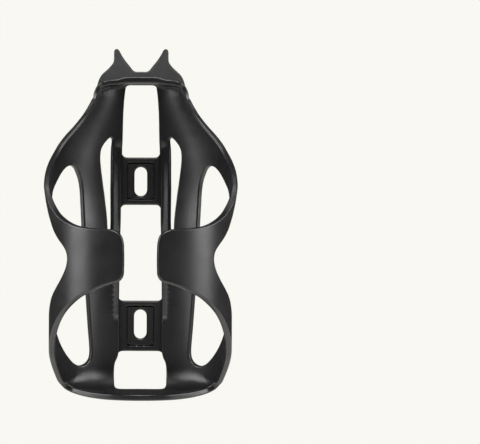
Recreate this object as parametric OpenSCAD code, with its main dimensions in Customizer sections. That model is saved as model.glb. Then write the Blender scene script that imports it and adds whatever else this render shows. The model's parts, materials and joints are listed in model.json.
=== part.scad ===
// Side-flexing water bottle cage, moulded in glass-filled nylon.
// Origin: middle of the bolt pattern on the mounting plane.
// +Z runs up the bottle, +Y points into the bicycle frame, the bottle sits on the -Y side.

/* [Bolts] */
// Distance between the two frame bolts
bolt_spacing = 64; // [63.6:0.1:64.4]
// Width of a bolt slot
slot_width = 5.8; // [5.2:0.1:6.2]
// End-to-end length of a bolt slot
slot_length = 13; // [9:0.5:14]
// Thickness of a bolt plate
plate_thickness = 2.6; // [2:0.1:3.2]

/* [Shell] */
// Wall thickness of the shell and the arms
wall = 2.7; // [2.2:0.1:3.2]
// Radius of the middle of the wall around the bottle
grip_radius = 37.75; // [37.4:0.05:38.4]
// How far the wall's middle stands off the mounting plane at the back
stand_off = 4.75; // [4:0.05:5.2]
// How far the wings flare out beyond the grip radius
wing_flare = 2.2; // [0:0.1:3]
// Radius of the hood under the crown
hood_radius = 22; // [20:0.5:24]

/* [Heights] */
// Underside of the crown's roof
roof_z = 75; // [72:0.5:78]
// Middle of the base shelf's floor
floor_z = -61.2; // [-62.4:0.2:-60]
// Height of the horn tips
horn_z = 91.5; // [88:0.5:94]

/* [Arms] */
// Angle around the bottle, from the back, where each arm's living hinge lies
hinge_angle = 60; // [58:0.5:61]
// Gap left at each living hinge
hinge_gap = 0.6; // [0.5:0.05:0.8]
// Angle around the bottle that the arm tips reach
tip_angle = 169; // [166:0.5:170]

/* [Rails] */
// Width of a rail
rail_width = 4; // [3:0.1:4.2]
// Depth of a rail from the mounting plane
rail_depth = 7.5; // [6.5:0.1:7.8]

/* [Hidden] */

nylon = "#26272a";
nylon_dark = "#1d1e20";
nylon_light = "#2f3034";

knee_z = -50;                     // the walls end and the base shelf begins
hood_z = 52;                      // the wings' undivided upper part ends
window_top_z = 38;                // top of each side window
strut_end_z = 0;                  // the struts end and the wide cheeks begin
cheek_end_z = -44;                // the bottom opening begins
half_gap = hinge_gap / 2 / grip_radius * 180 / PI;
rail_splay = 0.0185;              // the rails spread this much per unit of height, downwards
rail_half_gap = 9.35;             // half the space between the rails at z = 0
rail_relief = 3.6;                // the rails' ends rise this far off the mounting plane
pad_angle = 132;                  // the two bands of an arm meet in its grip pad at this angle
notch_half = 12.1;                // half the width of the bottom opening
notch_depth = 1.7;                // how far the bottom opening cuts into the base shelf's bend
crown_lean = 16;                  // the horn plate leans back by this angle
crown_thickness = 3;
horn_setback = 9.4;               // the back of the horn plate's foot lies this far from the mounting plane

// Middle radius of the wall at each height: round the bottle, flared at the wings, tight at the hood
radius_steps = [
  [13, grip_radius], [18, grip_radius + 0.25 * wing_flare], [24, grip_radius + 0.75 * wing_flare],
  [30, grip_radius + wing_flare], [40, grip_radius + wing_flare], [45, grip_radius + 0.8 * wing_flare],
  [48, grip_radius + 0.5 * wing_flare], [50.5, grip_radius], [56, 34.4], [62, 29.7], [67, 25.7],
  [71, 23.1], [roof_z, hood_radius]
];

// Edges of the left half as [angle from the back, height]
front_edge = [
  [60, 52], [64, 48.1], [67, 45.2], [71, 42.5], [75.5, 39.8], [80.5, 37.1], [86, 34.2], [91, 31],
  [97, 27.2], [105, 23], [114, 18.9], [122, 15.9], [pad_angle, 13.3]
];
window_edge_up = [
  [60, 37.8], [66.5, 35], [71, 32.1], [75.5, 29.6], [82, 26.5], [90, 22.9], [97, 18.9], [104, 14.7],
  [109.5, 11.4], [114.5, 8.8], [119.5, 6.3], [125, 3.4], [pad_angle, -1.2]
];
window_edge_down = [
  [60, -45.7], [64.5, -43.8], [70, -40.9], [75, -38.2], [81, -34.9], [86.5, -31.9], [92, -28.3],
  [97, -24.4], [102, -20.6], [108, -17], [114.5, -13.9], [120, -10.9], [125, -7.6], [pad_angle, -1.2]
];
lower_edge = [
  [60, -58.4], [67.5, -54.2], [72, -51.3], [76, -48.6], [81, -45.8], [88, -43.2], [95, -40.8],
  [103.5, -37.1], [113, -32.2], [122.5, -25.8], [pad_angle, -21]
];
pad_top = [
  [pad_angle, 13.3], [140, 11.9], [147, 11.4], [156, 11], [162.5, 10.4], [166.5, 8.6],
  [tip_angle - 0.4, 5.6], [tip_angle, 2]
];
pad_bottom = [
  [pad_angle, -21], [140, -17.6], [148, -15.3], [155, -13.2], [162, -11.4], [166, -10.2],
  [tip_angle - 0.5, -8], [tip_angle, -5]
];
hood_inner = [[17.5, roof_z], [17.6, 69.5], [15.9, 64], [14.2, 59], [12.8, hood_z]];
hood_outer = [[57, roof_z], [57, 69.7], [54.4, 64.3], [54.3, 59], [hinge_angle - half_gap, hood_z]];
shoulder_inner = [[21, hood_z], [25.5, 48.5], [27.2, 44], [26.8, window_top_z]];
shoulder_outer = [for (z = [hood_z, 47, 42, window_top_z]) [hinge_angle - half_gap, z]];
strut_inner = [[26.8, window_top_z], [25.3, 32.5], [24, 24], [23.4, 14], [22.8, 5], [22, strut_end_z]];
strut_outer = [[48.5, window_top_z], [47, 31], [45, 23.5], [41.5, 13], [39.8, 5], [39.2, strut_end_z]];
cheek_inner = [[20.8, strut_end_z], [21.35, -20], [21.85, -36], [22.1, cheek_end_z]];
cheek_outer = [[39.2, strut_end_z], [38, -20], [37, -36], [36.5, cheek_end_z]];
sill_low = [for (a = [18.8, 30, 36.5, 42, 48, 54, hinge_angle - half_gap]) [a, knee_z]];
sill_high = [
  [18.8, cheek_end_z], [30, cheek_end_z], [36.5, cheek_end_z], [42, -47.6], [48, -49],
  [54, -48.2], [hinge_angle - half_gap, -46]
];

// Front rim of the base shelf as [distance from the middle, depth]
rim_steps = [[0, 44], [8, 43], [15, 39], [21, 34.5], [26, 29.5], [29.5, 26.5], [34, 25]];
// Bend radius between the wall and the base shelf at each angle
bend_steps = [[0, 10], [36, 10], [48, 7], [60, 3]];

function mix(p, q, t) = p + (q - p) * t;
function bend(p, t) =
  0.5 * (2 * p[1] + (p[2] - p[0]) * t + (2 * p[0] - 5 * p[1] + 4 * p[2] - p[3]) * t * t
  + (3 * p[1] - p[0] - 3 * p[2] + p[3]) * t * t * t);
// The point a share t of the way along a smooth curve through a list of points
function along(path, t) =
  let (last = len(path) - 1, s = t * last, i = min(floor(s), last - 1))
  bend([path[max(i - 1, 0)], path[i], path[i + 1], path[min(i + 2, last)]], s - i);

// A point of the wall's middle: wall above the knee, then down, round the bend and forward
function spot(a, s) =
  let (
    r = lookup(s, radius_steps),
    x = -r * sin(a),
    y = -stand_off - r * (1 - cos(a)),
    turn = lookup(abs(a), bend_steps),
    t = (knee_z - s) / 10,
    phi = 90 * min(max(t - 1, 0), 1),
    reach = max(lookup(abs(x), rim_steps) + y - turn, 0.2)
  )
  s >= knee_z ? [x, y, s]
  : [x, y - turn * (1 - cos(phi)) - reach * max(t - 2, 0),
     mix(knee_z, floor_z + turn, min(t, 1)) - turn * sin(phi)];

// The same point pushed off the wall's middle, outwards for a positive offset
function skin(q, offset) =
  let (
    p = spot(q[0], q[1]),
    across = spot(q[0] + 0.5, q[1]) - spot(q[0] - 0.5, q[1]),
    up = spot(q[0], q[1] + 0.1) - spot(q[0], q[1] - 0.1),
    n = cross(across, up)
  )
  p + n / norm(n) * offset;

// A closed sheet of wall between two edges of the unrolled shell
module sheet(edge_a, edge_b, rows, cols) {
  width = cols + 1;
  count = (rows + 1) * width;
  side = [for (i = [0 : rows], j = [0 : cols]) mix(along(edge_a, i / rows), along(edge_b, i / rows), j / cols)];
  points = [for (off = [wall / 2, -wall / 2], q = side) skin(q, off)];
  rim = [
    for (i = [0 : rows - 1]) i * width,
    for (j = [0 : cols - 1]) rows * width + j,
    for (i = [rows : -1 : 1]) i * width + cols,
    for (j = [cols : -1 : 1]) j
  ];
  faces = [
    for (i = [0 : rows - 1], j = [0 : cols - 1])
      let (k = i * width + j)
      each [
        [k, k + 1, k + width], [k + 1, k + width + 1, k + width],
        [count + k, count + k + width, count + k + 1],
        [count + k + 1, count + k + width, count + k + width + 1]
      ],
    for (m = [0 : len(rim) - 1])
      let (p = rim[m], q = rim[(m + 1) % len(rim)])
      each [[p, q, count + q], [p, count + q, count + p]]
  ];
  polyhedron(points, faces);
}

function rail_x(z) = rail_half_gap - rail_splay * z;

module wing() {
  sheet(hood_inner, hood_outer, 12, 8);
  sheet(shoulder_inner, shoulder_outer, 6, 8);
}

module strut() {
  sheet(strut_inner, strut_outer, 10, 4);
}

module cheek() {
  sheet(cheek_inner, cheek_outer, 8, 4);
  sheet(sill_low, sill_high, 12, 3);
}

// The rail's side view, extruded inwards and leaned so that the rails spread downwards
module rail() {
  translate([-rail_x(0), 0, 0])
    rotate([0, atan(rail_splay), 0])
      translate([-rail_width, 0, 0])
        rotate([90, 0, 90])
          linear_extrude(rail_width)
            polygon([
              [0, -38], [0, 44], [-rail_relief, hood_z], [-rail_depth, hood_z],
              [-rail_depth, cheek_end_z], [-rail_relief, cheek_end_z]
            ]);
}

module bolt_plate(low, high, slot_z) {
  difference() {
    rotate([90, 0, 0])
      linear_extrude(plate_thickness)
        polygon([
          [-rail_x(low), low], [rail_x(low), low], [rail_x(high), high], [-rail_x(high), high]
        ]);
    for (side = [-1, 1])
      translate([0, 1, slot_z + side * (slot_length - slot_width) / 2])
        rotate([90, 0, 0])
          cylinder(h = plate_thickness + 2, d = slot_width, $fn = 48);
    translate([-slot_width / 2, -plate_thickness - 1, slot_z - (slot_length - slot_width) / 2])
      cube([slot_width, plate_thickness + 2, slot_length - slot_width]);
  }
}

module upper_arm() {
  edge = [for (q = window_edge_up) [max(q[0], hinge_angle + half_gap), q[1]]];
  front = [for (q = front_edge) [max(q[0], hinge_angle + half_gap), q[1]]];
  sheet(edge, front, 24, 3);
}

module lower_arm() {
  edge = [for (q = window_edge_down) [max(q[0], hinge_angle + half_gap), q[1]]];
  front = [for (q = lower_edge) [max(q[0], hinge_angle + half_gap), q[1]]];
  sheet(front, edge, 24, 3);
}

module grip_pad() {
  sheet(pad_bottom, pad_top, 14, 6);
}

module base() {
  notch = asin(notch_half / grip_radius);
  start = knee_z - 10 * notch_depth;
  finish = knee_z - 30;
  ends = [for (t = [0 : 0.25 : 1]) mix(notch, hinge_angle - half_gap, t)];
  sheet([for (a = ends) [a, finish]], [for (a = ends) [a, knee_z]], 10, 15);
  sheet([for (a = ends) [-a, knee_z]], [for (a = ends) [-a, finish]], 10, 15);
  middle = [for (t = [0 : 0.25 : 1]) mix(-notch, notch, t)];
  sheet([for (a = middle) [a, finish]], [for (a = middle) [a, start]], 8, 8);
}

// The hood's plan at the roof, with a front edge hollowed for the bottle's neck
module roof_plan() {
  half = hood_outer[0][0];
  outside = hood_radius + wall / 2;
  difference() {
    translate([0, -stand_off - hood_radius])
      polygon([for (i = [0 : 24]) let (a = mix(-half, half, i / 24)) [outside * sin(a), outside * cos(a)]]);
    translate([0, -53])
      circle(d = 2 * (53 - 15.4), $fn = 96);
  }
}

module roof() {
  translate([0, 0, roof_z])
    linear_extrude(wall)
      roof_plan();
}

module horn() {
  base_z = roof_z + wall;
  rise = (horn_z - base_z - crown_thickness * sin(crown_lean)) / cos(crown_lean);
  side = [
    [17.2, -1], [17.2, 0.2], [14, 0.2 * rise], [12.4, 0.46 * rise], [12.2, 0.84 * rise], [11.6, rise],
    [10.6, rise], [9.8, 0.9 * rise], [3.6, 0.26 * rise], [2.2, 0.22 * rise]
  ];
  difference() {
    translate([0, -horn_setback, base_z])
      rotate([90 - crown_lean, 0, 0])
        linear_extrude(crown_thickness)
          polygon(concat(side, [for (i = [len(side) - 1 : -1 : 0]) [-side[i][0], side[i][1]]]));
    translate([-hood_radius, -hood_radius, base_z - crown_thickness])
      cube([2 * hood_radius, hood_radius, crown_thickness]);
  }
}

module left_wing() { color(nylon) wing(); }
module right_wing() { color(nylon) mirror([1, 0, 0]) wing(); }
module left_strut() { color(nylon_light) strut(); }
module right_strut() { color(nylon_light) mirror([1, 0, 0]) strut(); }
module left_rail() { color(nylon_dark) rail(); }
module right_rail() { color(nylon_dark) mirror([1, 0, 0]) rail(); }
module left_cheek() { color(nylon) cheek(); }
module right_cheek() { color(nylon) mirror([1, 0, 0]) cheek(); }
module upper_bolt_plate() { color(nylon_dark) bolt_plate(21.5, 42.8, bolt_spacing / 2); }
module lower_bolt_plate() { color(nylon_dark) bolt_plate(-44.1, -21.5, -bolt_spacing / 2); }
module crown_roof() { color(nylon_light) roof(); }
module horn_plate() { color(nylon) horn(); }
module base_shelf() { color(nylon_light) base(); }
module left_upper_arm() { color(nylon_light) upper_arm(); }
module right_upper_arm() { color(nylon_light) mirror([1, 0, 0]) upper_arm(); }
module left_grip_pad() { color(nylon) grip_pad(); }
module right_grip_pad() { color(nylon) mirror([1, 0, 0]) grip_pad(); }
module left_lower_arm() { color(nylon_light) lower_arm(); }
module right_lower_arm() { color(nylon_light) mirror([1, 0, 0]) lower_arm(); }

crown_roof();
horn_plate();
left_wing();
right_wing();
left_strut();
right_strut();
left_rail();
right_rail();
upper_bolt_plate();
lower_bolt_plate();
left_cheek();
right_cheek();
base_shelf();
left_upper_arm();
left_grip_pad();
left_lower_arm();
right_upper_arm();
right_grip_pad();
right_lower_arm();
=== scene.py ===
import json
import math
import bpy
import numpy as np
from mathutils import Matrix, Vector
from mathutils.geometry import delaunay_2d_cdt


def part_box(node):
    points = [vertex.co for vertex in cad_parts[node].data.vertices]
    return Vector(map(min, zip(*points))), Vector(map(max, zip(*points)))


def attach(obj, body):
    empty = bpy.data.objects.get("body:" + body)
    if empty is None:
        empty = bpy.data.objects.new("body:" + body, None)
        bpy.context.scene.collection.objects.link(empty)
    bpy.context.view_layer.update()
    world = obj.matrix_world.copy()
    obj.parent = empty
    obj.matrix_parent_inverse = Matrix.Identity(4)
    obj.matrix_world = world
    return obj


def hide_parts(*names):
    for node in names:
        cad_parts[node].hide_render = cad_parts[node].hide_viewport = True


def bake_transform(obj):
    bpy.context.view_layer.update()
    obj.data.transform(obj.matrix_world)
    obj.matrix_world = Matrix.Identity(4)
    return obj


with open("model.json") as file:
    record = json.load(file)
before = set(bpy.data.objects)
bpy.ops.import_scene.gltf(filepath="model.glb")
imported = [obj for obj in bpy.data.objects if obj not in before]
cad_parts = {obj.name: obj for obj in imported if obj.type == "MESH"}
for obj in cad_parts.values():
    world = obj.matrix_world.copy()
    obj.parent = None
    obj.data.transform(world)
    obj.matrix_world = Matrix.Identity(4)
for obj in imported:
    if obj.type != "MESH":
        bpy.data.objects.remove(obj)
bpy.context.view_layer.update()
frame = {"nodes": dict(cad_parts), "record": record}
mm = 0.001
print("frame loaded:", len(frame["nodes"]), "nodes")


def nodeOf(name):  # leftUpperArm stands for left_upper_arm
    return "".join("_" + c.lower() if c.isupper() else c for c in name)


def low(node):  # lowest corner of a CAD node, in mm
    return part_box(node)[0] / mm


def high(node):
    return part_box(node)[1] / mm


def curve(points):  # a smooth function through (x, y) points that never overshoots them
    xs, ys = np.array(points, float).T
    width = np.diff(xs)
    slope = np.diff(ys) / width
    bend = np.zeros_like(ys)
    same = slope[:-1] * slope[1:] > 0
    total = np.where(same, slope[:-1] + slope[1:], 1)
    bend[1:-1] = np.where(same, 2 * slope[:-1] * slope[1:] / total, 0)

    def at(x):
        x = np.clip(x, xs[0], xs[-1])
        i = np.clip(np.searchsorted(xs, x, side="right") - 1, 0, len(width) - 1)
        t = (x - xs[i]) / width[i]
        swell = width[i] * t * (1 - t) * (bend[i] * (1 - t) - bend[i + 1] * t)
        return ys[i] + (ys[i + 1] - ys[i]) * t * t * (3 - 2 * t) + swell
    return at


def smoothLine(points, step, stretch=(1, 1)):  # closed line through every point, no wavier than it must be
    pts = [np.array(p, float) * stretch for p in points]
    line = []
    for i in range(len(pts)):
        p = [pts[(i + k - 1) % len(pts)] for k in range(4)]
        t = [0.0]
        for k in range(3):
            t.append(t[-1] + max(np.linalg.norm(p[k + 1] - p[k]), 1e-6) ** 0.5)  # never two at one place
        count = max(1, round(np.linalg.norm(p[2] - p[1]) / step))
        for s in np.linspace(t[1], t[2], count, endpoint=False):
            a = [(p[k] * (t[k + 1] - s) + p[k + 1] * (s - t[k])) / (t[k + 1] - t[k]) for k in range(3)]
            b = [(a[k] * (t[k + 2] - s) + a[k + 1] * (s - t[k])) / (t[k + 2] - t[k]) for k in range(2)]
            line.append((b[0] * (t[2] - s) + b[1] * (s - t[1])) / (t[2] - t[1]))
    return np.array(line) / stretch


def mirrored(half):  # a closed line from one half, whose first and last points lie in the middle
    return half + [(-a, v) for a, v in half[-2:0:-1]]


def turned(line, anticlockwise):
    x, y = line.T
    area = np.sum(x * np.roll(y, -1) - np.roll(x, -1) * y)
    return line if (area > 0) == anticlockwise else line[::-1]


def inside(points, line):  # which points lie in a closed line
    hit = np.zeros(len(points), bool)
    for (x0, y0), (x1, y1) in zip(line, np.roll(line, -1, axis=0)):
        if y0 != y1:
            spans = (y0 > points[:, 1]) != (y1 > points[:, 1])
            hit ^= spans & (points[:, 0] < (x1 - x0) * (points[:, 1] - y0) / (y1 - y0) + x0)
    return hit


def unit(vectors):
    return vectors / np.linalg.norm(vectors, axis=1)[:, None]


# A sheet is a moulded wall. spot(a, v) is where its middle lies and half(a, v) is half its thickness, and its
# outline, its holes and its cuts are drawn on the unrolled sheet. Every edge is rounded on both faces.
rim = {
    "cornerSteps": 4,
    "margin": 0.25,  # mm of flat face meshed beside each rounded corner
    "clear": 0.62,  # of the mesh spacing, kept free round the points of an edge
    "snap": 1e-7,  # points nearer than this are one
}


def rimProfile(front, back):  # way in, face, height from that face, tilt out, tilt up, wear
    margin = max(front, back) + rim["margin"]
    turn = np.linspace(0, math.pi / 2, rim["cornerSteps"] + 1)
    rows = [(margin, 1, 0, 0, 1, 0)]
    for radius, face, angles in ((front, 1, turn), (back, -1, turn[::-1])):
        for t in angles:
            wayIn, drop = radius * (1 - math.sin(t)), -face * radius * (1 - math.cos(t))
            rows.append((wayIn, face, drop, math.sin(t), face * math.cos(t), math.sin(2 * t)))
    return rows + [(margin, -1, 0, 0, -1, 0)]


def slopes(at, ab, da=0.25, dv=0.15):  # how a surface runs along a and along v
    a, v = ab.T
    alongA = (at(np.stack([a + da, v], 1)) - at(np.stack([a - da, v], 1))) / (2 * da)
    alongV = (at(np.stack([a, v + dv], 1)) - at(np.stack([a, v - dv], 1))) / (2 * dv)
    return alongA, alongV


def sheetPoints(sheet, ab, face, lift=0):
    middle = sheet["spot"]
    n = unit(np.cross(*slopes(middle, ab)))
    return middle(ab) + n * (face * sheet["half"](ab) + lift)[:, None]


def sheetNormals(sheet, ab, face):
    return unit(np.cross(*slopes(lambda q: sheetPoints(sheet, q, face), ab))) * face


def sheetRing(sheet, line):
    alongA, alongV = slopes(sheet["spot"], line)
    n = unit(np.cross(alongA, alongV))
    ahead = np.roll(line, -1, axis=0) - np.roll(line, 1, axis=0)
    tangent = alongA * ahead[:, :1] + alongV * ahead[:, 1:]
    inward = unit(np.cross(n, tangent))
    aa, vv, av = (np.sum(p * q, axis=1) for p, q in ((alongA, alongA), (alongV, alongV), (alongA, alongV)))
    ia, iv = (np.sum(p * inward, axis=1) for p in (alongA, alongV))
    # how a and v change for each mm into the sheet
    move = np.stack([ia * vv - iv * av, iv * aa - ia * av], 1) / (aa * vv - av * av)[:, None]
    profile = np.array([rimProfile(*sheet["rounding"](a, v)) for a, v in line], float)
    inset = line + move * profile[:, 0, :1]
    return {"line": line, "out": -inward, "move": move, "profile": profile, "inset": inset}


def meshSheet(sheet):
    stretch, spacing = np.array(sheet["stretch"]), sheet["spacing"]
    edges = [sheet["outer"]] + sheet["holes"]
    rings = [sheetRing(sheet, turned(line, k == 0)) for k, line in enumerate(edges)]
    onRim = np.concatenate([ring["line"] for ring in rings]) * stretch
    spots = [p for ring in rings for p in ring["inset"]]
    lines, cutLines, named = [], set(), {}
    first = 0
    for ring in rings:
        size = len(ring["line"])
        ring["first"] = first
        lines += [(first + i, first + (i + 1) % size) for i in range(size)]
        first += size

    def endOf(point):  # a cut ends on the rim, or where it meets another cut
        gap = np.linalg.norm(onRim - point * stretch, axis=1)
        if gap.min() < sheet["reach"]:
            return int(gap.argmin())
        if point not in named:
            named[point] = len(spots)
            spots.append(np.array(point, float))
        return named[point]

    for one, two in sheet.get("cuts", []):
        i, j = endOf(one), endOf(two)
        count = max(1, round(np.linalg.norm((spots[j] - spots[i]) * stretch) / spacing))
        way = [i]
        for k in range(1, count):
            way.append(len(spots))
            spots.append(spots[i] + (spots[j] - spots[i]) * k / count)
        way.append(j)
        lines += list(zip(way[:-1], way[1:]))
        cutLines |= {frozenset(pair) for pair in zip(way[:-1], way[1:])}
    for crease in sheet.get("creases", []):
        start = len(spots)
        spots += list(crease)
        lines += [(start + i, start + (i + 1) % len(crease)) for i in range(len(crease))]

    # an even grid of points fills the face up to its rims
    fixed = np.array(spots) * stretch
    lowest, highest = fixed.min(axis=0), fixed.max(axis=0)
    rows = np.arange(lowest[1], highest[1], spacing * math.sin(math.radians(60)))
    across = np.arange(lowest[0], highest[0], spacing)
    grid = np.array([(x + (k % 2) * spacing / 2, y) for k, y in enumerate(rows) for x in across])
    keep = inside(grid, rings[0]["inset"] * stretch)
    for ring in rings[1:]:
        keep &= ~inside(grid, ring["inset"] * stretch)
    grid = grid[keep]
    room = np.full(len(grid), np.inf)
    for p in fixed:
        room = np.minimum(room, np.sum((grid - p) ** 2, axis=1))
    grid = grid[room > (rim["clear"] * spacing) ** 2]
    flat = np.concatenate([fixed, grid])
    spots = flat / stretch
    made = delaunay_2d_cdt([Vector(p) for p in flat], lines, [], 0, rim["snap"], True)
    source = [ids[0] if ids else -1 for ids in made[3]]  # which point each corner of a triangle is
    triangles = np.array([[source[i] for i in f] for f in made[2]])
    triangles = triangles[triangles.min(axis=1) >= 0]
    centres = flat[triangles].mean(axis=1)
    keep = inside(centres, rings[0]["inset"] * stretch)
    for ring in rings[1:]:
        keep &= ~inside(centres, ring["inset"] * stretch)
    triangles, centres = triangles[keep], centres[keep]
    p0, p1, p2 = (flat[triangles[:, k]] for k in range(3))
    wrong = np.cross(p1 - p0, p2 - p0) < 0
    triangles[wrong] = triangles[wrong][:, ::-1]

    owner = {}  # the triangle to the left of each edge
    for t, tri in enumerate(triangles.tolist()):
        for k in range(3):
            owner[(tri[k], tri[(k + 1) % 3])] = t
    region = [None] * len(triangles)
    for name, seed in sheet["seeds"].items():  # each piece spreads from its seed up to the cuts
        stack = [int(np.sum((centres - np.array(seed) * stretch) ** 2, axis=1).argmin())]
        while stack:
            t = stack.pop()
            if region[t] is None:
                region[t] = name
                tri = triangles[t].tolist()
                for k in range(3):
                    i, j = tri[k], tri[(k + 1) % 3]
                    if frozenset((i, j)) not in cutLines and (j, i) in owner:
                        stack.append(owner[(j, i)])
    if None in region:
        raise ValueError("part of a sheet belongs to no piece")

    # both faces first, then each rim's rounded rows between them
    count = len(spots)
    verts = [sheetPoints(sheet, spots, 1), sheetPoints(sheet, spots, -1)]
    normals = [sheetNormals(sheet, spots, 1), sheetNormals(sheet, spots, -1)]
    wear = [np.zeros(2 * count)]
    total = 2 * count
    pieces = {name: {"skin": [], "cut": []} for name in sheet["seeds"]}
    rimEdges = set()
    for ring in rings:
        size, profile = len(ring["line"]), ring["profile"]
        ids = np.zeros((size, profile.shape[1]), int)
        ids[:, 0] = ring["first"] + np.arange(size)
        ids[:, -1] = count + ids[:, 0]
        for k in range(1, profile.shape[1] - 1):
            wayIn, face, drop, tiltOut, tiltUp, rub = profile[:, k].T
            ab = ring["line"] + ring["move"] * wayIn[:, None]
            verts.append(sheetPoints(sheet, ab, face, drop))
            up = unit(np.cross(*slopes(sheet["spot"], ab)))
            normals.append(unit(ring["out"] * tiltOut[:, None] + up * tiltUp[:, None]))
            wear.append(rub)
            ids[:, k] = total + np.arange(size)
            total += size
        ids = ids.tolist()
        names = [region[owner[(ids[i][0], ids[(i + 1) % size][0])]] for i in range(size)]
        for i in range(size):
            j = (i + 1) % size
            rimEdges.add((ids[i][0], ids[j][0]))
            for k in range(profile.shape[1] - 1):
                pieces[names[i]]["skin"].append((ids[i][k], ids[i][k + 1], ids[j][k + 1], ids[j][k]))
            if names[i - 1] != names[i]:  # a cut crosses the rim here
                pieces[names[i - 1]]["cut"].append(tuple(ids[i]))
                pieces[names[i]]["cut"].append(tuple(ids[i][::-1]))
    for t, (i, j, k) in enumerate(triangles.tolist()):
        skin, cut = pieces[region[t]]["skin"], pieces[region[t]]["cut"]
        skin += [(i, j, k), (count + k, count + j, count + i)]
        for p, q in ((i, j), (j, k), (k, i)):
            if (p, q) not in rimEdges and region[owner[(q, p)]] != region[t]:
                cut.append((count + p, count + q, q, p))
    whole = {"verts": verts, "normals": normals, "wear": wear}
    shared = {key: np.concatenate(rows) for key, rows in whole.items()}
    return {name: {**shared, **faces} for name, faces in pieces.items()}


def makePiece(name, parts):  # one object from closed meshes, shaded by their own normals
    verts, wear, skin, cut, skinNormals = [], [], [], [], []
    for part in parts:
        used = sorted({i for f in part["skin"] + part["cut"] for i in f})
        index = {old: len(verts) + new for new, old in enumerate(used)}
        verts += [Vector(part["verts"][i] * mm) for i in used]
        wear += [float(part["wear"][i]) for i in used]
        skin += [tuple(index[i] for i in f) for f in part["skin"]]
        cut += [tuple(index[i] for i in f) for f in part["cut"]]
        skinNormals += [part["normals"][i] for f in part["skin"] for i in f]
    mesh = bpy.data.meshes.new(name)
    mesh.from_pydata(verts, [], skin + cut)
    mesh.shade_smooth()
    mesh.attributes.new("edgeWear", "FLOAT", "POINT").data.foreach_set("value", wear)
    cutNormals = [mesh.polygons[len(skin) + k].normal for k, f in enumerate(cut) for _ in f]
    mesh.normals_split_custom_set([Vector(n) for n in skinNormals] + [Vector(n) for n in cutNormals])
    piece = bpy.data.objects.new(name, mesh)
    bpy.context.scene.collection.objects.link(piece)
    return piece


# The shell is one sheet round the bottle. a is the angle from the back, positive on the left, and v runs up
# the wall. Below the knee v turns into the base shelf, and above the brow into the crown's roof.
shell = {
    "wall": 2.7,
    "gripRadius": 37.75,  # middle of the wall
    "standOff": 4.75,
    "flare": 2.2,  # how much wider the wings stand
    "hoodRadius": 22.8,
    "kneeZ": -50,
    "browZ": 73.8,
    "browTurn": 3,  # bend radius from the wall into the roof
    "unroll": 0.66,  # mm round the wall to a degree
    "spacing": 1.3,
    "edgeStep": 0.9,
    "cutReach": 1.2,  # a cut that ends this near an edge ends on it
    "leastReach": 0.05,  # of the shelf and the roof past their bends
}
grip = shell["gripRadius"]
flared = grip + shell["flare"]
halfWall = shell["wall"] / 2
floorLevel = low("base_shelf").z + halfWall
radiusAt = curve([
    (13, grip), (18, grip + 0.55), (24, grip + 1.6), (30, flared), (39, flared), (45, flared - 0.5),
    (50.5, grip - 0.1), (56, 34.4), (62, 29.8), (67, 25.8), (70.5, 23.6),
    (shell["browZ"], shell["hoodRadius"]),
])
# by the angle from the back: the bend into the shelf, how far the floor rises and how far the brow drops
kneeTurnAt = curve([(0, 10), (34, 10), (47, 7.4), (54, 4.6), (62, 2.6)])
floorRiseAt = curve([(0, 0), (22, 0), (32, 0.25), (41, 0.8), (50, 1.7), (57, 2.9), (62, 3.8)])
browFallAt = curve([(0, 0), (16, 0.1), (28, 1.1), (41, 1.7), (50, 3.1), (57, 5.3)])
# by the distance from the middle: how deep the shelf and the roof reach from the mounting plane
baseDepthAt = curve([(0, 44), (8, 43), (15, 39), (21, 34.5), (26, 30), (29.5, 27), (34, 25.4)])
roofDepthAt = curve([(0, 14.6), (7, 15.1), (14, 16.6), (20, 19)])


railStrip = {  # the rails' inner halves lie lower than their slanted outer strips
    "sink": 1.2,
    "angles": (15.3, 19.5),  # where the slant starts and ends
    "lowZ": -31,
    "highZ": 50,
    "runOut": 3,
}


def railSink(ab):
    a, v = ab.T
    runOut = railStrip["runOut"]
    fade = np.clip((v - railStrip["lowZ"]) / runOut, 0, 1) * np.clip((railStrip["highZ"] - v) / runOut, 0, 1)
    return np.interp(np.abs(a), railStrip["angles"], (railStrip["sink"], 0)) * fade


def shellHalf(ab):
    return (shell["wall"] - railSink(ab)) / 2


def shellSpot(ab):
    a, v = ab.T
    floorZ = floorLevel + floorRiseAt(np.abs(a))
    browZ = shell["browZ"] - browFallAt(np.abs(a))
    z = np.clip(v, shell["kneeZ"], browZ)
    r, turn = radiusAt(z), kneeTurnAt(np.abs(a))
    down, up = np.maximum(shell["kneeZ"] - v, 0), np.maximum(v - browZ, 0)
    drop = shell["kneeZ"] - floorZ - turn
    lower = np.clip((down - drop) / turn, 0, math.pi / 2)
    bend = shell["browTurn"]
    upper = np.clip(up / bend, 0, math.pi / 2)
    forward = turn * (1 - np.cos(lower)) + np.maximum(down - drop - turn * math.pi / 2, 0)
    forward += bend * (1 - np.cos(upper)) + np.maximum(up - bend * math.pi / 2, 0)
    x = -r * np.sin(np.radians(a))
    y = -shell["standOff"] - r * (1 - np.cos(np.radians(a))) - forward + railSink(ab) / 2
    z = z - np.minimum(down, drop) - turn * np.sin(lower) + bend * np.sin(upper)
    return np.stack([x, y, z], 1)


def wayRound(turn, reach):  # length along a bend and on, to come this far forward
    if reach < turn:
        return turn * math.acos(1 - max(reach, shell["leastReach"]) / turn)
    return turn * math.pi / 2 + reach - turn


def baseRim(a):
    turn = float(kneeTurnAt(abs(a)))
    back = shell["standOff"] + grip * (1 - math.cos(math.radians(a)))
    reach = float(baseDepthAt(grip * math.sin(math.radians(abs(a))))) - back
    return a, floorLevel + float(floorRiseAt(abs(a))) + turn - wayRound(turn, reach)


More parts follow.
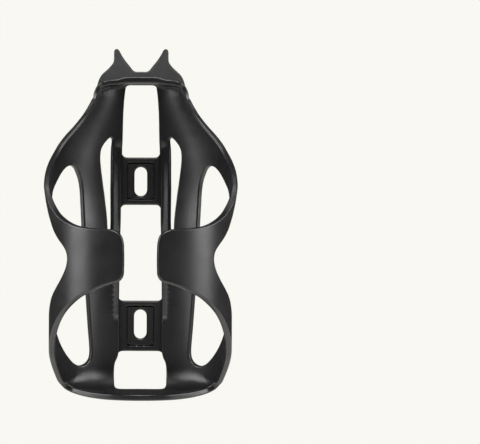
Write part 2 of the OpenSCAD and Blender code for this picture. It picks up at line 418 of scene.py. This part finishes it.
def roofRim(a):
    back = shell["standOff"] + shell["hoodRadius"] * (1 - math.cos(math.radians(a)))
    reach = float(roofDepthAt(shell["hoodRadius"] * math.sin(math.radians(abs(a))))) - back
    return a, shell["browZ"] - float(browFallAt(abs(a))) + wayRound(shell["browTurn"], reach)


outlines = {  # (a, v) points of the left half of each edge
    "frontEdge": [
        (45, 79), (48.3, 77), (51.4, 74.6), (54, 72), (55.7, 69.8), (56.1, 67.8), (55.5, 66), (54.6, 64),
        (54.1, 62), (54.2, 60), (54.9, 57.9), (56, 56), (58, 53.6), (60, 51.7), (63.5, 48.4), (67, 45.2),
        (71, 42.5), (75.5, 39.8), (80.5, 37.1), (86, 34), (91, 30.7), (97, 26.6), (105, 22), (114, 17.8),
        (122, 15.2), (133, 12.8), (140, 11.9), (147, 11.4), (156, 11.1), (163.5, 10.5), (167.7, 8.6),
        (169.3, 5.8), (169.7, 2), (169.7, -5), (169.2, -8.4), (166.8, -10.4), (162, -11.4), (155, -12.9),
        (148, -14.9), (140, -16.9), (133, -19.5), (122.5, -24), (113, -29), (103.5, -34.6), (95, -39.6),
        (88, -43.8), (81, -47.4), (76, -50.3), (72, -52.8), (67.5, -55.6), (63.5, -57.1), (60, -58.9),
    ],
    "window": [
        (49.6, 38.5), (46.8, 37.4), (44.8, 35.2), (43, 32.4), (41.9, 29), (41.8, 25.5), (42.3, 21),
        (42.9, 16), (42.9, 12), (42.2, 5), (41.2, -2), (40.2, -10), (39, -20), (38.1, -27), (37.2, -34),
        (36.3, -40), (36, -44), (37, -46.9), (40, -48.8), (45.5, -49.6), (51.5, -48.5), (57.8, -45.8),
        (61.8, -43.8), (67.2, -40.9), (72, -38.2), (78, -34.9), (84, -31.6), (90, -27.8), (95.5, -24),
        (101, -20.3), (107, -17), (113.5, -13.9), (119.2, -10.9), (124, -7.6), (127, -4.4), (128, -1.2),
        (126.6, 1.6), (122.8, 4), (117.3, 6.4), (111.8, 8.9), (106.3, 11.5), (100, 14.8), (94, 18.8),
        (86.5, 22.7), (78.8, 26.4), (72, 29.6), (67.5, 32.1), (63, 34.7), (59.4, 36.5), (56.3, 37.7),
        (53.2, 38.4),
    ],
    "slenderGap": [
        (21.6, 51.6), (24.8, 49.6), (27.1, 46.6), (27.6, 43.2), (26.9, 37.9), (25.8, 32.5), (24.7, 27),
        (24.2, 21.9), (23.8, 16.5), (23.3, 8), (22.8, 2.5), (22.2, 0.9), (21.4, 2), (20.9, 8), (20.3, 18),
        (19.5, 28), (19.3, 38), (19.6, 47), (20.2, 50.8),
    ],
    "middleGap": [
        (0, 75.5), (8, 75.5), (14.8, 75.3), (17.6, 74.3), (18.5, 72), (18.4, 69.4), (16.6, 64.3), (14.7, 59),
        (13.2, 53.4), (12.3, 46), (12.4, 38), (12.7, 30), (13.2, 21), (13.8, 10), (14.1, 0), (14.5, -16),
        (14.8, -30), (14.9, -42), (15.2, -44.6), (16, -46.7), (17.5, -48.7), (18.2, -50.9), (18.2, -57),
        (17.5, -61.6), (14.9, -65), (10, -66.7), (0, -66.9),
    ],
}
cuts = {  # where the left half's pieces meet
    "roof": ((18.5, 72), (56.1, 67.8)),
    "railTop": ((12.8, 51.6), (21.6, 51.6)),
    "strutTop": ((26.9, 37.9), (46.6, 37.2)),
    "armTop": ((60, 51.7), (59.4, 36.5)),
    "armFootUp": ((57.8, -45.8), (60, -52)),
    "armFootDown": ((60, -52), (60, -58.9)),
    "padTop": ((133, 12.8), (133, -1.2)),
    "padBottom": ((133, -1.2), (133, -19.5)),
    "padMiddle": ((128, -1.2), (133, -1.2)),
    "strutFoot": ((22.4, 0.9), (41.5, 0.2)),
    "railSide": ((22.2, 0.9), (22.6, -44)),
    "railFoot": ((15.1, -44), (22.6, -44)),
    "baseTop": ((18.2, -52), (60, -52)),
}
seeds = {  # a spot in each of the left half's pieces
    "Wing": (40, 60), "Strut": (33, 20), "Rail": (17, 10), "Cheek": (30, -20), "UpperArm": (95, 24.5),
    "GripPad": (150, 0), "LowerArm": (95, -33.5),
}


edgeRadii = {  # where the edges change, then their outer radius and their radius on the bottle's side there
    "roof": ((16, 26), (0.75, 0.9), (0.5, 1)),  # by the angle
    "rails": ((-46, -42, 50, 60), (0.75, 0.5, 0.5, 0.75), (0.7, 0.8, 0.8, 0.7)),  # by the height
    "arms": ((135, 150), (0.75, 0.95), (0.75, 0.9)),  # by the angle, fullest at the grip pads
}
railSide = 17  # the angle that both rails' inner edges lie within


def wallRounding(a, v):
    place, along = "arms", abs(a)
    if v > shell["browZ"] + 1:
        place = "roof"
    elif abs(a) < railSide and v > edgeRadii["rails"][0][0]:
        place, along = "rails", v
    at, outer, inner = edgeRadii[place]
    return np.interp(along, at, outer), np.interp(along, at, inner)


unrolled = (shell["unroll"], 1)
roofLine = [roofRim(a) for a in (0, 8, 16, 24, 32, 37, 41.5)]
baseLine = [baseRim(a) for a in (55, 50, 44, 37, 28, 18, 9, 0)]
shellLine = roofLine + outlines["frontEdge"] + baseLine
shellHoles = [smoothLine(mirrored(outlines["middleGap"]), shell["edgeStep"], unrolled)]
shellCuts, shellSeeds = [], {"crownRoof": (0, 77), "baseShelf": (0, -75)}
for side, label in ((1, "left"), (-1, "right")):
    for gap in ("window", "slenderGap"):
        shellHoles.append(smoothLine([(side * a, v) for a, v in outlines[gap]], shell["edgeStep"], unrolled))
    for one, two in cuts.values():
        shellCuts.append(((side * one[0], one[1]), (side * two[0], two[1])))
    for name, (a, v) in seeds.items():
        shellSeeds[label + name] = (side * a, v)
shellParts = meshSheet({
    "spot": shellSpot,
    "half": shellHalf,
    "outer": smoothLine(mirrored(shellLine), shell["edgeStep"], unrolled),
    "holes": shellHoles,
    "rounding": wallRounding,
    "stretch": unrolled,
    "spacing": shell["spacing"],
    "reach": shell["cutReach"],
    "cuts": shellCuts,
    "seeds": shellSeeds,
})
print("shell meshed:", len(shellParts), "pieces")


# Behind each rail's face a rib runs back to the mounting plane.
rib = {
    "inset": 0.15,  # the rib stands in from the face's sides
    "corner": 0.8,
    "leastCorner": 0.1,  # where the rib runs out
    "sink": 0.3,  # into the face
    "rowStep": 2,
    "lowZ": -44,
    "highZ": 57,
}
ribBackAt = curve([
    (-44, -3.9), (-42.5, -3), (-40.5, -0.9), (-38, 0), (44, 0), (47, -0.5), (51, -2.6), (57, -5),
])
# the angles of a rail's two sides, by the height
railInnerAt = curve([(v, a) for a, v in outlines["middleGap"][20:7:-1]])
besideGap = [(v, a) for a, v in outlines["slenderGap"][13:]]
railOuterAt = curve([(-44, 22.6), (0.9, 21.9)] + besideGap + [(57, 20.6)])


def railRib(side):
    rows = np.arange(rib["lowZ"], rib["highZ"], rib["rowStep"])
    turn = np.linspace(0, math.pi / 2, rim["cornerSteps"] + 1)
    verts, normals = [], []
    for z in rows:
        r = float(radiusAt(z))
        aIn, aOut = (math.radians(float(at(z))) for at in (railInnerAt, railOuterAt))
        xIn, xOut = r * math.sin(aIn) + rib["inset"], r * math.sin(aOut) - rib["inset"]
        yIn, yOut = (-shell["standOff"] - r * (1 - math.cos(a)) + halfWall - rib["sink"] for a in (aIn, aOut))
        back = float(ribBackAt(z))
        corner = min(rib["corner"], max(back - yIn, rib["leastCorner"]))
        section = [(xIn, yIn, -1, 0)]
        for x, out, angles in ((xIn, -1, turn), (xOut, 1, turn[::-1])):
            for t in angles:
                wayIn, drop = corner * (1 - math.cos(t)), corner * (1 - math.sin(t))
                section.append((x - out * wayIn, back - drop, out * math.cos(t), math.sin(t)))
        section.append((xOut, yOut, 1, 0))
        verts += [(-side * x, y, z) for x, y, _, _ in section]
        normals += [(-side * nx, ny, 0) for _, _, nx, ny in section]
    width = 2 * len(turn) + 2
    skin = []
    for row in range(len(rows) - 1):
        for k in range(width):
            p, q = row * width + k, row * width + (k + 1) % width
            face = (p, q, q + width, p + width)
            skin.append(face if side > 0 else face[::-1])
    cut = [tuple(range(width))[::-side], tuple(range(len(verts) - width, len(verts)))[::side]]
    return {
        "verts": np.array(verts, float),
        "normals": np.array(normals, float),
        "wear": np.zeros(len(verts)),
        "skin": skin,
        "cut": cut,
    }


pieces = {}
for name, part in shellParts.items():
    extra = [railRib(1 if name.startswith("left") else -1)] if name.endswith("Rail") else []
    pieces[name] = makePiece(name, [part] + extra)
print("rails, wings, struts, cheeks and arms made")


# Each bolt plate is a flat sheet with an upright slot and a shallow sunk panel round it.
boltPlate = {
    "sink": 2,  # into the rails
    "fillet": 1.3,
    "slotWidth": 5.6,
    "slotLength": 13,
    "panelHalfWidth": 6.6,
    "panelMargin": 1.9,  # from the plate's ends
    "panelCorner": 1.6,
    "panelDepth": 0.35,
    "panelSlope": 0.5,
    "edgeAt": (7.5375, 9.0375),  # from the middle; the edges turn tight here, towards the rails
    "frontRadius": (0.5, 0.2),
    "backRadius": (0.9, 0.2),
    "spacing": 0.8,
    "edgeStep": 0.6,
}
boltSpacing = next(m for m in frame["record"]["mounts"] if m["name"] == "frame_bolts")["dims"]["spacing_y_mm"]


def roundedBox(halfWidth, bottom, top, corner, steps=6):
    line = []
    for x, z, start in ((1, top, 0), (-1, top, 90), (-1, bottom, 180), (1, bottom, 270)):
        cx, cz = x * (halfWidth - corner), z - corner if z == top else z + corner
        for t in np.radians(np.linspace(start, start + 90, steps)):
            line.append((cx + corner * math.cos(t), cz + corner * math.sin(t)))
    return np.array(line)


def boxDistance(ab, halfWidth, bottom, top, corner):  # how far outside a rounded box each point lies
    away = np.abs(ab - (0, (top + bottom) / 2)) - (halfWidth - corner, (top - bottom) / 2 - corner)
    return np.linalg.norm(np.maximum(away, 0), axis=1) + np.minimum(away.max(axis=1), 0) - corner


def plateMesh(name, slotZ):
    node = nodeOf(name)
    bottom, top, thick = low(node).z, high(node).z, -low(node).y
    fillet, sink = boltPlate["fillet"], boltPlate["sink"]
    half = [(0, top)]
    for z, out in ((top, 1), (bottom, -1)):
        rail = float(grip * math.sin(math.radians(float(railInnerAt(z))))) + rib["inset"]
        corner = [  # a fillet into the rail, then round a tongue inside it
            (rail - 2.6 * fillet, z), (rail - fillet, z + 0.1 * out),
            (rail - 0.35 * fillet, z + 0.4 * fillet * out), (rail + 0.1, z + fillet * out),
            (rail + 0.35 * sink, z + 1.7 * out), (rail + 0.75 * sink, z + 1.6 * out),
            (rail + sink, z + 0.6 * out), (rail + sink, z - out),
        ]
        half += corner[::out]
    half.append((0, bottom))
    slotHalf, slotReach = boltPlate["slotWidth"] / 2, boltPlate["slotLength"] / 2
    slot = roundedBox(slotHalf, slotZ - slotReach, slotZ + slotReach, slotHalf, 10)
    margin, slope = boltPlate["panelMargin"], boltPlate["panelSlope"]
    panel = (boltPlate["panelHalfWidth"], bottom + margin, top - margin, boltPlate["panelCorner"])
    step = boltPlate["edgeStep"]

    def sunk(ab):
        t = np.clip(-boxDistance(ab, *panel) / slope, 0, 1)
        return boltPlate["panelDepth"] * t * t * (3 - 2 * t)

    def spot(ab):
        return np.stack([-ab[:, 0], -thick / 2 + sunk(ab) / 2, ab[:, 1]], 1)

    def rounding(a, v):
        ends = (boltPlate["frontRadius"], boltPlate["backRadius"])
        return (np.interp(abs(a), boltPlate["edgeAt"], radii) for radii in ends)

    inner = (panel[0] - slope, panel[1] + slope, panel[2] - slope, panel[3] - slope)
    return meshSheet({
        "spot": spot,
        "half": lambda ab: thick / 2 - sunk(ab) / 2,
        "outer": smoothLine(mirrored(half), step),
        "holes": [smoothLine(slot, step)],
        "rounding": rounding,
        "stretch": (1, 1),
        "spacing": boltPlate["spacing"],
        "creases": [smoothLine(roundedBox(*box), boltPlate["spacing"]) for box in (panel, inner)],
        "seeds": {name: (0, slotZ + slotReach + 1)},
    })


for name, sign in (("upperBoltPlate", 1), ("lowerBoltPlate", -1)):
    pieces[name] = makePiece(name, plateMesh(name, sign * boltSpacing / 2).values())
print("bolt plates made")


# The horn plate stands on the roof and leans back, with a wide notch between two short horns.
horn = {
    "lean": 16,
    "thick": 3,
    "foot": 1.6,  # sunk into the roof
    "standOff": 9.4,  # from the mounting plane to the back face's foot
    "tipDrop": 0.5,  # the horns' round tips end this far under the CAD's
    "spacing": 0.9,
    "edgeStep": 0.6,
    "tight": 0.25,  # edge radius on the horns' tips and at the foot
    "frontRadius": 0.6,
    "backRadius": 0.9,
}


def hornMesh():
    lean = math.radians(horn["lean"])
    foot, tip = low("horn_plate"), high("horn_plate")
    middleY = -horn["standOff"] - horn["thick"] / 2 * math.cos(lean)
    footZ = foot.z + horn["thick"] / 2 * math.sin(lean)
    rise = (tip.z - horn["tipDrop"] - foot.z - horn["thick"] * math.sin(lean)) / math.cos(lean)

    def spot(ab):
        a, v = ab.T
        return np.stack([-a, middleY + v * math.sin(lean), footZ + v * math.cos(lean)], 1)

    half = [
        (0, 0.175 * rise), (2.4, 0.175 * rise), (3.4, 0.215 * rise), (4.9, 0.365 * rise), (7.4, 0.62 * rise),
        (9.1, 0.83 * rise), (9.9, 0.95 * rise), (10.6, 0.995 * rise), (11.4, 0.99 * rise),
        (12, 0.93 * rise), (12.15, 0.8 * rise), (12.15, 0.66 * rise), (12.4, 0.52 * rise),
        (13.8, 0.36 * rise), (16, 0.18 * rise), (17.5, 0.05 * rise), (18.4, -0.9), (19, -2.5),
        (19.4, -4), (19.6, -5.6), (18.5, -6.6), (16.5, -4.9), (14, -2.7), (11.5, -horn["foot"]),
        (0, -horn["foot"]),
    ]
    edgeAt, tight = (0.5, 3.5, 0.55 * rise, 0.9 * rise), horn["tight"]

    def rounding(a, v):
        full = (horn["frontRadius"], horn["backRadius"])
        return (np.interp(v, edgeAt, (tight, radius, radius, tight)) for radius in full)

    return meshSheet({
        "spot": spot,
        "half": lambda ab: np.full(len(ab), horn["thick"] / 2),
        "outer": smoothLine(mirrored(half), horn["edgeStep"]),
        "holes": [],
        "rounding": rounding,
        "stretch": (1, 1),
        "spacing": horn["spacing"],
        "seeds": {"hornPlate": (0, 0)},
    })


pieces["hornPlate"] = makePiece("hornPlate", hornMesh().values())
print("horn plate made")


def toLinear(colour):  # sRGB hex to linear
    parts = [int(colour[i:i + 2], 16) / 255 for i in (1, 3, 5)]
    return tuple(c / 12.92 if c <= 0.04045 else ((c + 0.055) / 1.055) ** 2.4 for c in parts) + (1,)


def addNode(tree, kind, settings={}, links={}):
    node = tree.nodes.new(kind)
    for name, value in settings.items():
        if name in node.bl_rna.properties:
            setattr(node, name, value)
        else:
            node.inputs[name].default_value = value
    for name, source in links.items():
        tree.links.new(source, node.inputs[name])
    return node


nylon = {
    "black": "#131315",
    "worn": "#1E1E21",  # corners that handling has burnished
    "roughness": (0.31, 0.39),
    "wornRoughness": 0.3,
    "grainSize": 0.45,  # mm; the mould's fine texture is 0.1 mm, drawn coarser so that it shows
    "grainDepth": 0.03,
    "flowSize": 9,  # mm; slow drift in gloss where the melt flowed
    "plateLift": 0.08,  # how much rougher the bolt plates are
}


def mouldedNylon(name, lift=0.0):
    # glass-filled nylon straight from a lightly textured mould: a deep black with a broad satin sheen
    made = bpy.data.materials.new(name)
    made.use_nodes = True
    tree = made.node_tree
    tree.nodes.clear()
    where = addNode(tree, "ShaderNodeTexCoord").outputs["Object"]
    fine = {"Scale": 1 / (nylon["grainSize"] * mm), "Detail": 3.0, "Roughness": 0.6}
    grain = addNode(tree, "ShaderNodeTexNoise", fine, {"Vector": where})
    broad = {"Scale": 1 / (nylon["flowSize"] * mm), "Detail": 4.0, "Roughness": 0.55}
    flow = addNode(tree, "ShaderNodeTexNoise", broad, {"Vector": where})
    wear = addNode(tree, "ShaderNodeAttribute", {"attribute_name": "edgeWear"}).outputs["Fac"]
    uneven = {"From Min": 0.35, "From Max": 0.7, "To Min": 0.25, "To Max": 0.9}
    patchy = addNode(tree, "ShaderNodeMapRange", uneven, {"Value": flow.outputs["Fac"]})
    rubbed = addNode(tree, "ShaderNodeMath", {"operation": "MULTIPLY"}).outputs[0]
    tree.links.new(wear, rubbed.node.inputs[0])
    tree.links.new(patchy.outputs[0], rubbed.node.inputs[1])
    colour = addNode(tree, "ShaderNodeMix", {"data_type": "RGBA"})
    colour.inputs[6].default_value = toLinear(nylon["black"])
    colour.inputs[7].default_value = toLinear(nylon["worn"])
    tree.links.new(rubbed, colour.inputs[0])
    lowest, highest = nylon["roughness"]
    spread = {"From Min": 0.3, "From Max": 0.7, "To Min": lowest + lift, "To Max": highest + lift}
    satin = addNode(tree, "ShaderNodeMapRange", spread, {"Value": flow.outputs["Fac"]})
    burnished = {"To Max": nylon["wornRoughness"] + lift}
    gloss = addNode(tree, "ShaderNodeMapRange", burnished, {"Value": rubbed, "To Min": satin.outputs[0]})
    texture = {"Strength": 0.35, "Distance": nylon["grainDepth"] * mm}
    bump = addNode(tree, "ShaderNodeBump", texture, {"Height": grain.outputs["Fac"]})
    shader = addNode(tree, "ShaderNodeBsdfPrincipled", {"IOR": 1.53}, {
        "Base Color": colour.outputs[2],
        "Roughness": gloss.outputs[0],
        "Normal": bump.outputs[0],
    })
    addNode(tree, "ShaderNodeOutputMaterial", {}, {"Surface": shader.outputs[0]})
    return made


satinNylon = mouldedNylon("satinGlassFilledNylon")
plateNylon = mouldedNylon("texturedGlassFilledNylon", nylon["plateLift"])
for name, piece in pieces.items():
    piece.data.materials.append(plateNylon if name.endswith("BoltPlate") else satinNylon)
print("nylon made")


# The arms' pieces stay where they were made; everything else is one moulding and rides on the spine. Each
# piece's CAD part is hidden.
for name, piece in pieces.items():
    if name.endswith(("UpperArm", "GripPad", "LowerArm")):
        side, arm = (-1, "left_arm") if name.startswith("left") else (1, "right_arm")
        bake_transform(piece)
    else:
        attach(piece, "spine")
    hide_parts(nodeOf(name))


studio = {
    "background": "#F9F8F2",
    "floor": "#F4F3EE",
    "floorHeight": -0.3,
    "floorRadius": 1.5,
    "floorSides": 64,
    "floorGlow": 0.35,  # keeps the floor pale out where the lights fall off
    "fill": 0.06,
    "viewDistance": 0.85,
    "viewHeight": 0.01385,
    "focalLength": 141.7,
    "shift": 0.2069,
    "roll": -0.2,  # degrees
}
softboxes = {  # place, target, width, height and power
    "leftSoftbox": ((-0.83, -0.15, 0.28), (0, -0.04, 0), 0.4, 0.7, 6),
    "rightSoftbox": ((0.83, -0.15, 0.28), (0, -0.04, 0), 0.4, 0.7, 6),
    "topSoftbox": ((0, -0.75, 1.55), (0, -0.1, 0), 1, 0.9, 27),
}


def softLight(name, place, target, width, height, power):
    data = bpy.data.lights.new(name, "AREA")
    data.shape, data.size, data.size_y, data.energy = "RECTANGLE", width, height, power
    light = bpy.data.objects.new(name, data)
    light.location = place
    light.rotation_euler = (Vector(target) - Vector(place)).to_track_quat("-Z", "Y").to_euler()
    bpy.context.scene.collection.objects.link(light)


for name, settings in softboxes.items():
    softLight(name, *settings)

world = bpy.data.worlds.new("paleStudio")
bpy.context.scene.world = world
world.use_nodes = True
tree = world.node_tree
tree.nodes.clear()
paleColour = toLinear(studio["background"])
seen = addNode(tree, "ShaderNodeBackground", {"Color": paleColour, "Strength": 1.0})
fill = addNode(tree, "ShaderNodeBackground", {"Color": paleColour, "Strength": studio["fill"]})
toEye = addNode(tree, "ShaderNodeLightPath").outputs["Is Camera Ray"]
both = addNode(tree, "ShaderNodeMixShader", {}, {"Fac": toEye})
tree.links.new(fill.outputs[0], both.inputs[1])
tree.links.new(seen.outputs[0], both.inputs[2])
addNode(tree, "ShaderNodeOutputWorld", {}, {"Surface": both.outputs[0]})

floorMesh = bpy.data.meshes.new("floor")
corners = np.linspace(0, 2 * math.pi, studio["floorSides"], endpoint=False)
radius, height = studio["floorRadius"], studio["floorHeight"]
ringPoints = [(radius * math.cos(t), radius * math.sin(t), height) for t in corners]
floorMesh.from_pydata(ringPoints, [], [tuple(range(studio["floorSides"]))])
floor = bpy.data.objects.new("floor", floorMesh)
bpy.context.scene.collection.objects.link(floor)
paint = bpy.data.materials.new("paleStudioPaint")
paint.use_nodes = True
matt = paint.node_tree.nodes["Principled BSDF"].inputs
matt["Base Color"].default_value = matt["Emission Color"].default_value = toLinear(studio["floor"])
matt["Emission Strength"].default_value = studio["floorGlow"]
matt["Roughness"].default_value = 0.8
floorMesh.materials.append(paint)

lens = bpy.data.cameras.new("camera")
lens.lens, lens.sensor_width, lens.shift_x = studio["focalLength"], 36, studio["shift"]
camera = bpy.data.objects.new("camera", lens)
camera.location = (0, -studio["viewDistance"], studio["viewHeight"])
camera.rotation_euler = (math.radians(90), math.radians(studio["roll"]), 0)
bpy.context.scene.collection.objects.link(camera)
bpy.context.scene.camera = camera
bpy.context.scene.view_settings.view_transform = "Standard"
print("studio set")
